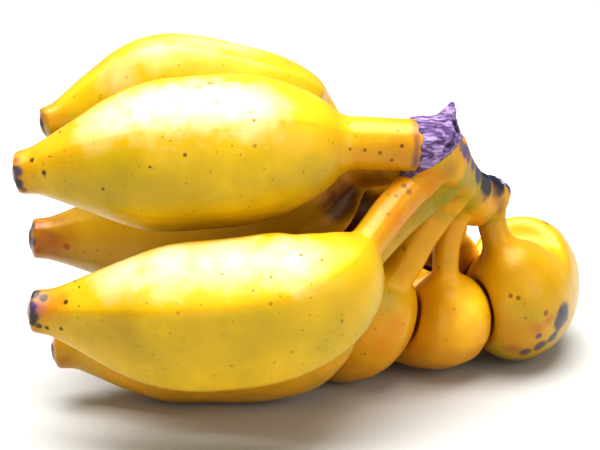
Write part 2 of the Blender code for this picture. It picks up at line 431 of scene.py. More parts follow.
@dataclass(frozen=True)
class WaxyPeel:
    """Ripe plantain peel: a thin wax over smooth yellow skin, with freckles and browner ends."""

    body: str = "#DAB00A"
    deep: str = "#CE9A06"
    root: str = "#D08C06"
    green: str = "#8C8A06"
    # Painted shade for faces that point down
    painted_shade: str = "#A08A04"
    brown: str = "#A06A04"
    browning: float = 0.0
    ridge: str = "#B88606"
    end: str = "#A4600E"
    freckle: str = "#6A4410"
    nub: str = "#1A1422"
    roughness: float = 0.36
    specular: float = 0.36
    specular_tint: tuple[float, float, float, float] = (1.0, 0.84, 0.45, 1.0)
    wax: float = 0.32
    wax_roughness: float = 0.30

    def material(self, name: str, marks: list[tuple[Vector, Mark]]) -> bpy.types.Material:
        """Build the peel for one finger.

        Args:
            name: The finger's name.
            marks: Its bruises, scars, painted highlights and painted shade, each with its place on the
                skin in metres.

        Returns:
            The peel's material.
        """
        nodes = Nodes(name + "_peel")
        nodes.shader.inputs["Coat Weight"].default_value = self.wax
        nodes.shader.inputs["Coat Roughness"].default_value = self.wax_roughness
        nodes.shader.inputs["Specular IOR Level"].default_value = self.specular
        nodes.shader.inputs["Specular Tint"].default_value = self.specular_tint
        add = nodes.add
        place = add("TexCoord").outputs["Object"]
        to_tip = add("Attribute", {"attribute_name": "to_tip"}).outputs["Fac"]
        from_root = add("Attribute", {"attribute_name": "from_root"}).outputs["Fac"]
        ridge = add("Attribute", {"attribute_name": "ridge"}).outputs["Fac"]

        # Broad patches, about 30 mm across, where the peel has turned further
        patches = add("TexNoise", Vector=place, Scale=33.0, Detail=3.0, Roughness=0.55).outputs["Fac"]
        turned = add("MapRange", Value=patches, From_Min=0.42, From_Max=0.72).outputs["Result"]
        colour = add(
            "Mix", {"data_type": "RGBA"}, i0=turned, i6=srgb(self.body), i7=srgb(self.deep)
        ).outputs[2]

        # The stalk starts in the crown's own ochre
        rooted = add(
            "MapRange", Value=from_root, From_Min=7.0, From_Max=46.0, To_Min=0.85, To_Max=0.0
        ).outputs["Result"]
        colour = add("Mix", {"data_type": "RGBA"}, i0=rooted, i6=colour, i7=srgb(self.root)).outputs[2]

        # Green that is left near the stalk and in patches about 17 mm across
        mottles = add("TexNoise", Vector=place, Scale=60.0, Detail=4.0, Roughness=0.6).outputs["Fac"]
        near_root = add(
            "MapRange", Value=from_root, From_Min=14.0, From_Max=70.0, To_Min=0.62, To_Max=0.12
        ).outputs["Result"]
        mottled = add("MapRange", Value=mottles, From_Min=0.45, From_Max=0.75).outputs["Result"]
        greened = add("Math", {"operation": "MULTIPLY"}, i0=near_root, i1=mottled).outputs[0]
        colour = add("Mix", {"data_type": "RGBA"}, i0=greened, i6=colour, i7=srgb(self.green)).outputs[2]

        # Painted shade: faces that point down turn a darker olive, in patches
        under = add("Attribute", {"attribute_name": "under"}).outputs["Fac"]
        patchy = add("MapRange", Value=mottles, From_Min=0.30, From_Max=0.66, To_Min=0.30, To_Max=0.80)
        shade_share = add("Math", {"operation": "MULTIPLY"}, i0=under, i1=patchy.outputs["Result"]).outputs[0]
        colour = add("Mix", {"data_type": "RGBA"}, i0=shade_share, i6=colour, i7=srgb(self.painted_shade)).outputs[2]
        if self.browning > 0:
            brown = srgb(self.brown)
            colour = add("Mix", {"data_type": "RGBA"}, i0=self.browning, i6=colour, i7=brown).outputs[2]

        # A browner line along each ridge
        line = add("MapRange", Value=ridge, From_Min=0.55, From_Max=1.0, To_Max=0.35).outputs["Result"]
        colour = add("Mix", {"data_type": "RGBA"}, i0=line, i6=colour, i7=srgb(self.ridge)).outputs[2]

        # About the last 13 mm turn orange brown, in blotches about 5 mm across
        blotches = add("TexNoise", Vector=place, Scale=200.0, Detail=3.0).outputs["Fac"]
        ragged = add("MapRange", Value=blotches, To_Min=-9.0, To_Max=9.0).outputs["Result"]
        ragged_end = add("Math", {"operation": "ADD"}, i0=to_tip, i1=ragged).outputs[0]
        browned = add(
            "MapRange", Value=ragged_end, From_Min=1.0, From_Max=13.0, To_Min=0.65, To_Max=0.0
        ).outputs["Result"]
        colour = add("Mix", {"data_type": "RGBA"}, i0=browned, i6=colour, i7=srgb(self.end)).outputs[2]

        # Freckles in cells of 2.5 mm and of 6 mm, closer together at the tip
        density = add(
            "MapRange", Value=to_tip, From_Min=5.0, From_Max=60.0, To_Min=0.60, To_Max=0.28
        ).outputs["Result"]
        for cells, size in ((400.0, 0.10), (160.0, 0.07)):
            grid = add("TexVoronoi", Vector=place, Scale=cells)
            dot = add(
                "MapRange", Value=grid.outputs["Distance"], From_Min=size, From_Max=size * 1.9,
                To_Min=0.6, To_Max=0.0,
            ).outputs["Result"]
            pick = add("SeparateColor", Color=grid.outputs["Color"]).outputs[0]
            chosen = add("Math", {"operation": "LESS_THAN"}, i0=pick, i1=density).outputs[0]
            shown = add("Math", {"operation": "MULTIPLY"}, i0=dot, i1=chosen).outputs[0]
            colour = add(
                "Mix", {"data_type": "RGBA"}, i0=shown, i6=colour, i7=srgb(self.freckle)
            ).outputs[2]

        colour = nodes.lay_stains_and_painted_light(colour, place, blotches, marks)

        # The dried flower end is nearly black
        fringe = add("MapRange", Value=blotches, To_Min=-1.5, To_Max=1.5).outputs["Result"]
        charred = add("Math", {"operation": "ADD"}, i0=to_tip, i1=fringe).outputs[0]
        black = add(
            "MapRange", Value=charred, From_Min=0.5, From_Max=1.6, To_Min=0.95, To_Max=0.0
        ).outputs["Result"]
        colour = add("Mix", {"data_type": "RGBA"}, i0=black, i6=colour, i7=srgb(self.nub)).outputs[2]

        # Wax is shinier than the dry ends; the skin has pores 0.8 mm apart and shallow dents 9 mm apart
        gloss = add(
            "MapRange", Value=mottles, To_Min=self.roughness - 0.07, To_Max=self.roughness + 0.09
        ).outputs["Result"]
        dull = add("Math", {"operation": "MULTIPLY_ADD"}, i0=black, i1=0.35, i2=gloss).outputs[0]
        pores = add("TexNoise", Vector=place, Scale=1250.0, Detail=2.0).outputs["Fac"]
        fine = add("Bump", Strength=0.10, Distance=0.0002, Height=pores).outputs["Normal"]
        dents = add("TexNoise", Vector=place, Scale=110.0, Detail=2.0).outputs["Fac"]
        bump = add("Bump", Strength=0.25, Distance=0.0006, Height=dents, Normal=fine).outputs["Normal"]
        return nodes.finish(colour, dull, bump)


@dataclass(frozen=True)
class FingerShape:
    """One fruit: its centreline, its thickness along it, and what is on its peel.

    The radii are stalk, girth and tip. The shoulder starts swell_from after the root and takes swell,
    and the end takes taper. At full girth the width is wide times the height. The ridges are angles
    in degrees, and flatness says how straight the sides between them are. The crown's stub is
    collar thicker than the stalk, and smoothing is how often the finished skin is softened.
    """

    node: str
    route: tuple[tuple[float, float, float], ...]
    stalk: float
    girth: float
    tip: float
    swell_from: float
    swell: float
    taper: float
    wide: float = 1.0
    ridges: tuple[float, ...] = (0.0, 72.0, 144.0, 216.0, 288.0)
    flatness: float = 0.42
    collar: float = -STUB_DRAW_IN
    browning: float = 0.0
    smoothing: int = 9
    ripeness: Ripeness = Ripeness.YELLOW
    marks: tuple[Mark, ...] = ()

    def radius(self, distance: float, length: float) -> float:
        """Work out the finger's radius: stalk, shoulder, body and blunt tip.

        Args:
            distance: Millimetres from the root.
            length: The whole finger's length.

        Returns:
            The radius there.
        """
        risen = clamp((distance - self.swell_from) / self.swell)
        swelling = self.stalk + (self.girth - self.stalk) * math.sin(risen**SWELL_POWER * math.pi / 2)
        left = clamp((length - BLUNT - distance) / self.taper)
        taper = self.tip + (self.girth - self.tip) * math.sin(left * math.pi / 2) ** TAPER_POWER
        share = clamp(0.5 + 0.5 * (taper - swelling) / BLEND)
        return taper * (1 - share) + swelling * share - BLEND * share * (1 - share)


class Skin:
    """Builds one finger's skin, from a ridged section at the stalk to the dried end."""

    def __init__(self, shape: FingerShape) -> None:
        """Take the finger's shape and run its centreline.

        Args:
            shape: The finger to build.
        """
        self.shape = shape
        self.line = Centreline(shape.route)

    def half_sizes(self, distance: float) -> tuple[float, float]:
        """Work out the section's size.

        Args:
            distance: Millimetres from the root.

        Returns:
            Its half width and half height.
        """
        shape = self.shape
        radius = shape.radius(distance, self.line.length)
        body = clamp((radius - shape.stalk) / (shape.girth - shape.stalk))
        return radius * (1 + body * (shape.wide - 1)), radius

    def section(self, name: str) -> bpy.types.Object:
        """Add a round face of radius 1 across X.

        Args:
            name: The new object's name.

        Returns:
            The face that the finger is drawn out from.
        """
        deselect()
        bpy.ops.mesh.primitive_circle_add(
            vertices=SIDES, radius=1.0, fill_type="NGON", rotation=(0.0, math.pi / 2, 0.0)
        )
        item = bpy.context.object
        item.name = name
        bpy.ops.object.transform_apply(rotation=True)
        return item

    def reach(self, angle: float) -> float:
        """Return how far the section reaches at an angle: furthest at a ridge, less between two.

        Args:
            angle: Degrees round the centreline, from the sideways direction towards the upright.

        Returns:
            The reach as a share of the radius.
        """
        ridges = self.shape.ridges
        ahead = min((ridge - angle) % 360 for ridge in ridges)
        behind = min((angle - ridge) % 360 for ridge in ridges)
        half_side, past_middle = math.radians((ahead + behind) / 2), math.radians((ahead - behind) / 2)
        straight = math.cos(half_side) / math.cos(past_middle)
        return RIDGE_REACH * (1 + self.shape.flatness * (straight - 1))

    def draw_out(self, item: bpy.types.Object, rings: list[tuple[float, float, float]]) -> None:
        """Extrude a section ring by ring along X.

        Args:
            item: The section to extrude.
            rings: Each ring's place along X, half width and half height.
        """
        make_active(item)
        bpy.ops.object.mode_set(mode="EDIT")
        bpy.ops.mesh.select_all(action="SELECT")
        at, wide, high = rings[0]
        bpy.ops.transform.translate(value=(at, 0.0, 0.0))
        bpy.ops.transform.resize(value=(1.0, wide, high), center_override=(at, 0.0, 0.0))
        for (at, wide, high), (next_at, next_wide, next_high) in zip(rings, rings[1:]):
            bpy.ops.mesh.extrude_region_move(TRANSFORM_OT_translate={"value": (next_at - at, 0.0, 0.0)})
            bpy.ops.transform.resize(
                value=(1.0, next_wide / wide, next_high / high), center_override=(next_at, 0.0, 0.0)
            )
        bpy.ops.object.mode_set(mode="OBJECT")

    def follow_line(self, item: bpy.types.Object, rings: list[tuple[float, float, float]]) -> None:
        """Lay a straight skin along the finger's centreline, without folds at its tight shoulder.

        A Curve modifier would fold the skin there, so each point is placed from the line's own
        directions and kept ahead of the point behind it.

        Args:
            item: The straight skin.
            rings: Its rings, as they were drawn out.
        """
        vertices = sorted(item.data.vertices, key=lambda vertex: vertex.co.x)
        count = len(vertices) // len(rings)
        before = None
        for number, (at, wide, high) in enumerate(rings):
            middle, heading, across, upright = self.line.frame_at(at)
            angles = {
                vertex: round(math.degrees(math.atan2(vertex.co.z / high, vertex.co.y / wide)), 1) % 360
                for vertex in vertices[number * count:(number + 1) * count]
            }
            ring = sorted(angles, key=angles.get)
            for index, vertex in enumerate(ring):
                reach = self.reach(angles[vertex])
                place = middle + across * (vertex.co.y * reach) + upright * (vertex.co.z * reach)
                if before is not None and number < len(rings) - TIP_RINGS:
                    step = (place - before[index]).dot(heading)
                    place = place + heading * max(LEAST_STEP - step, 0.0)
                vertex.co = place
            before = [vertex.co.copy() for vertex in ring]
        make_active(item)
        bpy.ops.object.mode_set(mode="EDIT")
        bpy.ops.mesh.select_all(action="SELECT")
        bpy.ops.mesh.normals_make_consistent(inside=False)
        bpy.ops.object.mode_set(mode="OBJECT")

    def finger_rings(self) -> list[tuple[float, float, float]]:
        """List the finger's rings from inside the crown's stub to the dried end.

        Returns:
            Each ring's distance from the root, half width and half height.
        """
        end = self.line.length - NUB
        start = STUB - STUB_OVERLAP
        count = round((end - BLUNT - start) / RING_STEP)
        stations = [start + (end - BLUNT - start) * index / count for index in range(count + 1)]
        stations += [end - BLUNT * share for share in BLUNT_RINGS]
        rings = []
        for station in stations:
            wide, high = self.half_sizes(station)
            hidden = STUB_DRAW_IN * (1 - smooth_step(start, STUB, station))
            rings.append((station, wide - hidden, high - hidden))
        wide, high = self.half_sizes(self.line.length)
        rings.append((end, wide * TIP_DRAW_IN, high * TIP_DRAW_IN))
        rings.append((end + NUB_STEP, wide * NUB_FOOT, high * NUB_FOOT))
        rings.append((self.line.length, wide * NUB_TOP, high * NUB_TOP))
        return rings

    def stub_rings(self) -> list[tuple[float, float, float]]:
        """List the rings of the stalk's first stretch, which the crown keeps.

        Returns:
            Each ring's distance from the root, half width and half height.
        """
        collar = self.shape.collar
        stations = (0.0, 2.0, 4.0, 6.0, STUB - 0.5)
        if collar < 0:
            stations += (STUB + 1.0, STUB + 3.0)
        rings = []
        collar_ends = (STUB - 0.5, STUB + 3.0) if collar < 0 else (0.0, 4.0)
        for station in stations:
            share = smooth_step(*collar_ends, station)
            radius = self.shape.stalk + collar * share
            rings.append((station, radius, radius))
        return rings

    def loft(self, name: str, rings: list[tuple[float, float, float]]) -> bpy.types.Object:
        """Build a closed skin over rings, along the centreline.

        Args:
            name: The new object's name.
            rings: Each ring's distance from the root, half width and half height.

        Returns:
            The skin in millimetres.
        """
        item = self.section(name)
        self.draw_out(item, rings)
        self.follow_line(item, rings)
        return item


def place_marks(item: bpy.types.Object, marks: tuple[Mark, ...]) -> list[tuple[Vector, Mark]]:
    """Find where the camera sees each mark on an object.

    Args:
        item: The object that bears the marks.
        marks: The marks.

    Returns:
        Each mark that falls on the object, with its place in metres.
    """
    mesh = item.data
    tree = BVHTree.FromPolygons(
        [vertex.co for vertex in mesh.vertices], [tuple(face.vertices) for face in mesh.polygons]
    )
    found = [(tree.ray_cast(VIEW.location(), VIEW.ray_through(mark.pixel))[0], mark) for mark in marks]
    return [(place, mark) for place, mark in found if place is not None]


def inflate(item: bpy.types.Object, distance: float) -> None:
    """Move an object's skin outward along its normals.

    Args:
        item: The object.
        distance: How far, in the mesh's own unit.
    """
    normals = [vertex.normal.copy() for vertex in item.data.vertices]
    for vertex, normal in zip(item.data.vertices, normals):
        vertex.co += normal * distance


def box_of(item: bpy.types.Object) -> tuple[Vector, Vector]:
    """Find the box round an object's points.

    Args:
        item: The object.

    Returns:
        Its lowest and highest corner.
    """
    places = [vertex.co for vertex in item.data.vertices]
    low = Vector([min(place[axis] for place in places) for axis in range(3)])
    high = Vector([max(place[axis] for place in places) for axis in range(3)])
    return low, high


def boxes_meet(one: bpy.types.Object, other: bpy.types.Object) -> bool:
    """Return whether the boxes of two objects overlap."""
    (low, high), (other_low, other_high) = box_of(one), box_of(other)
    return all(low[axis] < other_high[axis] and other_low[axis] < high[axis] for axis in range(3))


class Finger:
    """One fruit of the hand, pressed by those before it and by the table."""

    def __init__(self, shape: FingerShape) -> None:
        """Take the finger's shape.

        Args:
            shape: The finger to build.
        """
        self.shape = shape
        self.skin = Skin(shape)
        self.name = shape.node + "_fruit"
        self.item = None
        self.cutter = None

    def build(self, pressing: list["Finger"]) -> bpy.types.Object:
        """Model the finger and press it against the fingers before it.

        Args:
            pressing: The fingers that were there first.

        Returns:
            The finished finger in metres.
        """
        rings = self.skin.finger_rings()
        self.item = self.skin.loft(self.name, rings)
        self.cutter = self.item.copy()
        self.cutter.data = self.item.data.copy()
        self.cutter.name = self.name + "_print"
        bpy.context.scene.collection.objects.link(self.cutter)
        inflate(self.cutter, PRESS_GAP)
        for other in pressing:
            if boxes_meet(self.item, other.cutter):
                apply_modifier(
                    self.item, "BOOLEAN", operation="DIFFERENCE", solver="MANIFOLD", object=other.cutter
                )
        self._rest_on_table()
        self._weave_skin()
        self._note_places()
        return self.item

    def _rest_on_table(self) -> None:
        """Cut the finger off flat where it would go through the table."""
        make_active(self.item)
        bpy.ops.object.mode_set(mode="EDIT")
        bpy.ops.mesh.select_all(action="SELECT")
        bpy.ops.mesh.bisect(
            plane_co=(0.0, 0.0, 0.0), plane_no=(0.0, 0.0, 1.0), use_fill=True, clear_inner=True
        )
        bpy.ops.object.mode_set(mode="OBJECT")

    def _weave_skin(self) -> None:
        """Give the skin even, soft faces, turn it to metres and shade it smooth."""
        item = self.item
        apply_modifier(item, "REMESH", mode="VOXEL", voxel_size=SKIN_STEP)
        apply_modifier(item, "SMOOTH", factor=0.5, iterations=self.shape.smoothing)
        normals = [vertex.normal.copy() for vertex in item.data.vertices]
        for vertex, normal in zip(item.data.vertices, normals):
            lump = noise.noise(vertex.co / BROAD_LUMP) * BROAD_DEPTH
            lump += noise.noise(vertex.co / SMALL_LUMP) * SMALL_DEPTH
            vertex.co -= normal * ((lump + BROAD_DEPTH + SMALL_DEPTH) * LUMPS_IN)
            vertex.co.z = max(vertex.co.z, 0.0)
        item.data.transform(Matrix.Scale(MM, 4))
        item.data.shade_smooth()

    def _note_places(self) -> None:
        """Write on the mesh how far each point is from root and tip, how near a ridge, how far under."""
        line = self.skin.line
        tree = KDTree(len(line.points))
        for index, point in enumerate(line.points):
            tree.insert(point, index)
        tree.balance()
        from_root, to_tip, ridge, under = [], [], [], []
        for vertex in self.item.data.vertices:
            place = vertex.co / MM
            _, index, _ = tree.find(place)
            offset = place - line.points[index]
            along = line.reach[index] + offset.dot(line.headings[index])
            upright = line.uprights[index]
            across = line.headings[index].cross(upright)
            angle = math.degrees(math.atan2(offset.dot(upright), offset.dot(across)))
            from_root.append(along)
            to_tip.append(line.length - along)
            nearest = min(abs((angle - peak + 180) % 360 - 180) for peak in self.shape.ridges)
            ridge.append(max(1 - nearest / RIDGE_WIDTH, 0.0))
            under.append(1 - smooth_step(UNDER_FROM, UNDER_TO, vertex.normal.z))
        notes = {"from_root": from_root, "to_tip": to_tip, "ridge": ridge, "under": under}
        for name, values in notes.items():
            attribute = self.item.data.attributes.new(name, "FLOAT", "POINT")
            attribute.data.foreach_set("value", values)

    def dress(self) -> None:
        """Find the finger's marks on its skin, give it its peel and let it stand for its solid."""
        marks = place_marks(self.item, self.shape.marks)
        mesh = self.item.data
        mesh.materials.clear()
        peel = replace(PEELS[self.shape.ripeness], browning=self.shape.browning)
        mesh.materials.append(peel.material(self.shape.node, marks))
        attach(self.item, "root")
        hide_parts(self.shape.node)


PEELS = {
    Ripeness.YELLOW: WaxyPeel(),
    Ripeness.AMBER: WaxyPeel(body="#EAB00A", deep="#D88E06", green="#94800A", painted_shade="#CC8E06"),
}

# The front fingers come first: each later one is pressed in where an earlier one lies against it
FINGERS = (
    FingerShape(
        "finger_front_upper",
        ((42, -48, 94), (26, -51, 96), (6, -54, 97), (-47, -59, 94), (-79, -60, 91), (-99, -59, 88)),
        stalk=9.2, girth=26.6, tip=7.8, swell_from=33, swell=46, taper=52,
        ridges=(1, 73, 145, 217, 289), flatness=0.22, collar=0.5,
        marks=(
            # Painted highlight on the upper facet, and painted shade in olive low on the side
            Mark((105, 118), 13.0, PAINTED_HIGHLIGHT, 0.6, 0.9), Mark((150, 104), 15.0, PAINTED_HIGHLIGHT, 0.6, 0.9),
            Mark((200, 98), 16.0, PAINTED_HIGHLIGHT, 0.65, 0.9), Mark((250, 106), 14.0, PAINTED_HIGHLIGHT, 0.6, 0.9),
            Mark((120, 176), 14.0, PAINTED_SHADE_OLIVE, 0.45, 0.9), Mark((190, 188), 16.0, PAINTED_SHADE_OLIVE, 0.35, 0.9),
            # Blemish on the upper facet
            Mark((210, 83), 1.6, "#B86A18", 0.8), Mark((198, 87), 1.8, "#D08A28", 0.7),
            # Specks
            Mark((32, 160), 0.9, "#3A1F10"), Mark((44, 173), 1.2, "#20140C"), Mark((60, 132), 0.7, SPECK),
            Mark((103, 189), 0.6, SPECK), Mark((150, 167), 0.6, SPECK), Mark((185, 155), 0.8, SPECK),
            Mark((217, 102), 0.7, "#8A6A20"), Mark((251, 112), 0.9, "#8A7A20"),
            Mark((254, 120), 0.7, "#8A6A20"),
            # Dried rim of the tip
            Mark((17, 160), 1.6, "#B03A20", 0.7), Mark((16, 172), 2.4, "#2A2A58", 0.85),
            Mark((16, 184), 2.6, "#14183A", 0.95), Mark((24, 190), 1.4, SPECK, 0.8),
            # Orange-brown, specks and a dried seam on the stalk
            Mark((345, 160), 9.0, "#C08408", 0.5, 0.9), Mark((375, 158), 9.0, "#C07406", 0.6, 0.9),
            Mark((402, 154), 8.0, "#B4680A", 0.65, 0.9), Mark((402, 146), 0.8, "#5A2A0A"),
            Mark((380, 153), 0.9, "#6A3A0A"), Mark((392, 160), 0.7, "#6A3A0A"),
            Mark((365, 150), 0.7, "#6A3A0A"), Mark((350, 149), 0.6, "#6A4A0A"),
            Mark((398, 131), 0.6, "#8A5A20"),
            Mark((415, 121), 1.8, "#9A4A2A", 0.7, 0.8), Mark((416, 126), 1.8, "#9A4A2A", 0.7, 0.8),
            Mark((416, 131), 1.8, "#8A3E34", 0.7, 0.8), Mark((417, 136), 1.8, "#8A3E34", 0.7, 0.8),
            Mark((417, 141), 1.8, "#7A3A3E", 0.7, 0.8), Mark((417, 146), 1.8, "#7A3A3E", 0.7, 0.8),
            Mark((417, 151), 1.8, "#6A3044", 0.7, 0.8), Mark((416, 156), 1.8, "#6A3044", 0.7, 0.8),
            Mark((416, 161), 1.8, "#4A2A50", 0.7, 0.8), Mark((415, 166), 1.8, "#4A2A50", 0.7, 0.8),
        ),
    ),
    FingerShape(
        "finger_front_lower",
        ((39, -46, 86), (27, -57, 76), (18, -68, 67), (8, -76, 58), (-4, -80, 52), (-24, -83, 48),
         (-53, -84, 47), (-93, -81, 48)),
        stalk=6.8, girth=26.6, tip=7.8, swell_from=38, swell=48, taper=54,
        ridges=(29, 101, 160, 235, 310),
        marks=(
            # Painted highlight on the upper facet, and painted shade in olive along the middle
            Mark((120, 272), 12.0, PAINTED_HIGHLIGHT, 0.6, 0.9), Mark((170, 262), 14.0, PAINTED_HIGHLIGHT, 0.6, 0.9),
            Mark((230, 258), 14.0, PAINTED_HIGHLIGHT, 0.6, 0.9), Mark((290, 260), 13.0, PAINTED_HIGHLIGHT, 0.6, 0.9),
            Mark((122, 330), 13.0, "#927606", 0.55, 0.9), Mark((250, 345), 18.0, "#A88804", 0.5, 0.9),
            Mark((185, 348), 15.0, "#A88804", 0.45, 0.9),
            # Orange, violet and dried blue-black at the tip
            Mark((50, 304), 8.0, "#BC5E12", 0.7, 0.9), Mark((36, 306), 4.0, "#8A5478", 0.55, 0.8),
            Mark((33, 294), 2.6, "#141C40", 0.95), Mark((31, 306), 2.4, "#343066", 0.9),
            Mark((31, 318), 2.8, "#101830", 0.95), Mark((44, 298), 1.6, "#101C3A"),
            Mark((32, 323), 1.2, "#101820"), Mark((39, 326), 1.2, "#101820"),
            Mark((47, 328), 1.0, "#20180C"),
            # Specks
            Mark((66, 302), 0.9, "#3A1A08"), Mark((61, 329), 0.9, "#3A1A08"),
            Mark((75, 281), 0.7, "#4A2A10"), Mark((79, 287), 0.6, "#4A2A10"),
            Mark((301, 255), 0.8, "#6A4A10"), Mark((322, 260), 0.8, "#6A4A10"),
            Mark((222, 274), 0.7, "#8A6A10"), Mark((271, 277), 0.7, "#8A6A10"),
            Mark((342, 321), 0.7, "#7A5A10"),
            # Orange stalk, and painted bounce light: a brighter gold along the lower edge
            Mark((398, 224), 15.0, "#C46C06", 0.8, 0.9), Mark((424, 202), 10.0, "#BC6C0A", 0.6, 0.9),
            Mark((120, 372), 14.0, PAINTED_BOUNCE_GOLD, 0.35, 0.9), Mark((200, 384), 16.0, PAINTED_BOUNCE_GOLD, 0.35, 0.9),
            Mark((280, 376), 14.0, PAINTED_BOUNCE_GOLD, 0.35, 0.9),
            # Specks on the stalk
            Mark((404, 186), 1.0, "#6A3A0A", 0.8), Mark((396, 196), 0.8, "#6A3A0A", 0.8),
            Mark((409, 192), 1.2, "#7A4A1A", 0.7), Mark((388, 214), 0.7, "#7A4A0A", 0.7),
        ),
    ),
    FingerShape(
        "finger_back_upper",
        ((42, -31, 91), (24, -13, 87), (5, 1, 86), (-12, 0, 92), (-47, -4, 101), (-72, -7, 98),
         (-94, -13, 92.5)),
        stalk=8.0, girth=24.6, tip=7.0, swell_from=47, swell=34, taper=46,
        ridges=(49, 121, 193, 265, 337),
        marks=(
            # Painted highlight on the upper facet
            Mark((118, 74), 9.0, PAINTED_HIGHLIGHT, 0.3, 0.9), Mark((155, 48), 10.0, PAINTED_HIGHLIGHT, 0.35, 0.9),
            Mark((200, 41), 11.0, PAINTED_HIGHLIGHT, 0.35, 0.9), Mark((240, 47), 10.0, PAINTED_HIGHLIGHT, 0.3, 0.9),
        ),
    ),
    FingerShape(
        "finger_back_middle",
        ((42, -41, 87), (26, -31, 84), (12, -24, 79), (1, -20, 71), (-12, -13, 61), (-26, -7, 55),
         (-47, -3, 52), (-74, -3, 50), (-100, -5, 50)),
        stalk=8.0, girth=23.0, tip=7.8, swell_from=32, swell=62, taper=54,
        ridges=(60, 132, 204, 276, 348), browning=0.5,
        marks=(
            # Brown tip with its dried rim
            Mark((50, 244), 13.0, "#8C4604", 0.8, 0.9), Mark((67, 247), 1.4, "#8A2A10", 0.8),
            Mark((50, 236), 1.6, "#8A5A20", 0.6), Mark((32, 228), 2.2, "#262450", 0.9),
            Mark((32, 242), 2.6, "#2A2450", 0.9), Mark((40, 224), 2.0, "#A8442A", 0.6),
            Mark((38, 250), 1.6, "#8A3A20", 0.6),
            # Brown stalk and shoulder; the darkest mark low down is painted shade in the hollow between
            # the stalks
            Mark((352, 180), 8.0, "#8A5206", 0.7), Mark((378, 182), 7.0, "#7A4A0A", 0.7),
            Mark((335, 192), 8.0, "#8A5206", 0.6), Mark((345, 205), 9.0, "#4A1C04", 0.9),
        ),
    ),
    FingerShape(
        "finger_back_lower",
        ((45, -35, 80), (30, -41, 68), (16, -47, 54), (9, -49, 41), (0, -44, 31), (-16, -36, 24),
         (-47, -34, 22.5), (-90, -37, 19)),
        stalk=7.2, girth=24.2, tip=7.0, swell_from=55, swell=46, taper=44,
        ridges=(52, 124, 196, 268, 340), browning=0.3,
        marks=(
            # Green stalk
            Mark((442, 202), 10.0, LEAF_GREEN, 0.85, 0.9), Mark((425, 215), 7.0, "#9A7A0A", 0.6, 0.9),
            # Painted bounce light: a brighter lower side where it lies in shade near the floor
            Mark((130, 386), 20.0, "#F4B010", 0.8, 0.9), Mark((210, 394), 22.0, "#F4B010", 0.8, 0.9),
            Mark((290, 388), 20.0, "#F4B010", 0.8, 0.9), Mark((340, 365), 12.0, "#F0AC10", 0.6, 0.9),
        ),
    ),
    FingerShape(
        "finger_side_lower",
        ((50, -26, 76), (38, -24, 58), (30, -22, 43), (15, -16, 24), (-4, 1, 22), (-26, 19, 21),
         (-51, 38, 18)),
        stalk=7.2, girth=23.0, tip=7.0, swell_from=40, swell=34, taper=56,
        ridges=(43, 115, 187, 259, 331), ripeness=Ripeness.AMBER,
        marks=(
            # Green stalk
            Mark((442, 202), 10.0, "#84800A", 0.8, 0.9), Mark((400, 258), 9.0, "#CC9004", 0.6, 0.8),
            # Green and orange patches down the body
            Mark((388, 300), 6.0, "#A89008", 0.5, 0.9), Mark((395, 325), 5.0, "#D0780A", 0.5, 0.9),
            Mark((404, 248), 1.2, "#7A4A0A", 0.6), Mark((382, 345), 5.0, "#D87A08", 0.4, 0.9),
        ),
    ),
    FingerShape(
        "finger_side_narrow",
        ((54, -16, 70), (48, -15, 54), (47, -13, 39), (47, -7, 21), (34, 9, 17.5), (12, 31, 17.5),
         (-14, 57, 16)),
        stalk=5.2, girth=19.0, tip=6.5, swell_from=33, swell=25, taper=56, wide=0.98,
        ridges=(9, 81, 153, 225, 297), flatness=0.3, ripeness=Ripeness.AMBER,
        marks=(
            # Painted highlight on the right side, where the light falls, and painted shade on the left
            # side and stalk
            Mark((472, 305), 9.0, "#FFD020", 0.7, 0.9), Mark((470, 335), 8.0, "#F4B810", 0.6, 0.9),
            Mark((430, 310), 8.0, "#A87C04", 0.5, 0.9), Mark((478, 352), 3.0, "#D8700A", 0.5, 0.8),
            Mark((446, 262), 6.0, "#A08806", 0.5, 0.9),
        ),
    ),
    FingerShape(
        "finger_end",
        ((62, 1, 66), (64.5, 0, 52), (69, 0.5, 40), (73.5, 7, 26), (78, 32, 23.5), (80, 57, 22.5),
         (85.5, 84, 20)),
        stalk=5.8, girth=25.4, tip=7.0, swell_from=21, swell=34, taper=58, wide=0.86,
        ridges=(55, 127, 199, 271, 343), flatness=0.08, browning=0.25, smoothing=45,
        marks=(
            # Painted shade down the stalk's side, which faces away from the light, and darker brown over
            # the body
            Mark((489, 245), 8.0, "#B87808", 0.45), Mark((493, 285), 8.0, "#B87808", 0.45),
            Mark((518, 280), 12.0, "#AC7E04", 0.65, 0.7), Mark((545, 280), 12.0, "#AC8004", 0.6, 0.7),
            Mark((565, 270), 8.0, "#C09404", 0.5, 0.8),
            Mark((498, 330), 9.0, "#C07808", 0.4), Mark((530, 340), 9.0, "#C87A10", 0.35),
            # Scars
            Mark((503, 214), 1.8, "#30183A", 0.8), Mark((546, 223), 1.8, "#7A1A10"),
            Mark((511, 296), 1.1, "#5A3A08", 0.8), Mark((518, 298), 1.1, "#5A3A08", 0.8),
            Mark((546, 313), 1.4, "#7A2A08", 0.8),
            # Blue-black bruise at the side and along the lower edge, with rust beside it
            Mark((564, 311), 3.8, BRUISE), Mark((562, 319), 5.2, BRUISE, 0.95, 0.3),
            Mark((553, 337), 3.0, "#16244A"), Mark((541, 346), 3.4, "#16244A", 0.85),
            Mark((526, 352), 2.6, "#2A2A50", 0.8), Mark((537, 328), 3.6, RUST, 0.6, 0.8),
            Mark((549, 320), 3.2, RUST, 0.6, 0.8), Mark((512, 349), 4.0, RUST, 0.6, 0.8),
            Mark((539, 336), 1.6, "#2A3058", 0.8),
        ),
    ),
    FingerShape(
        "finger_side_upper",
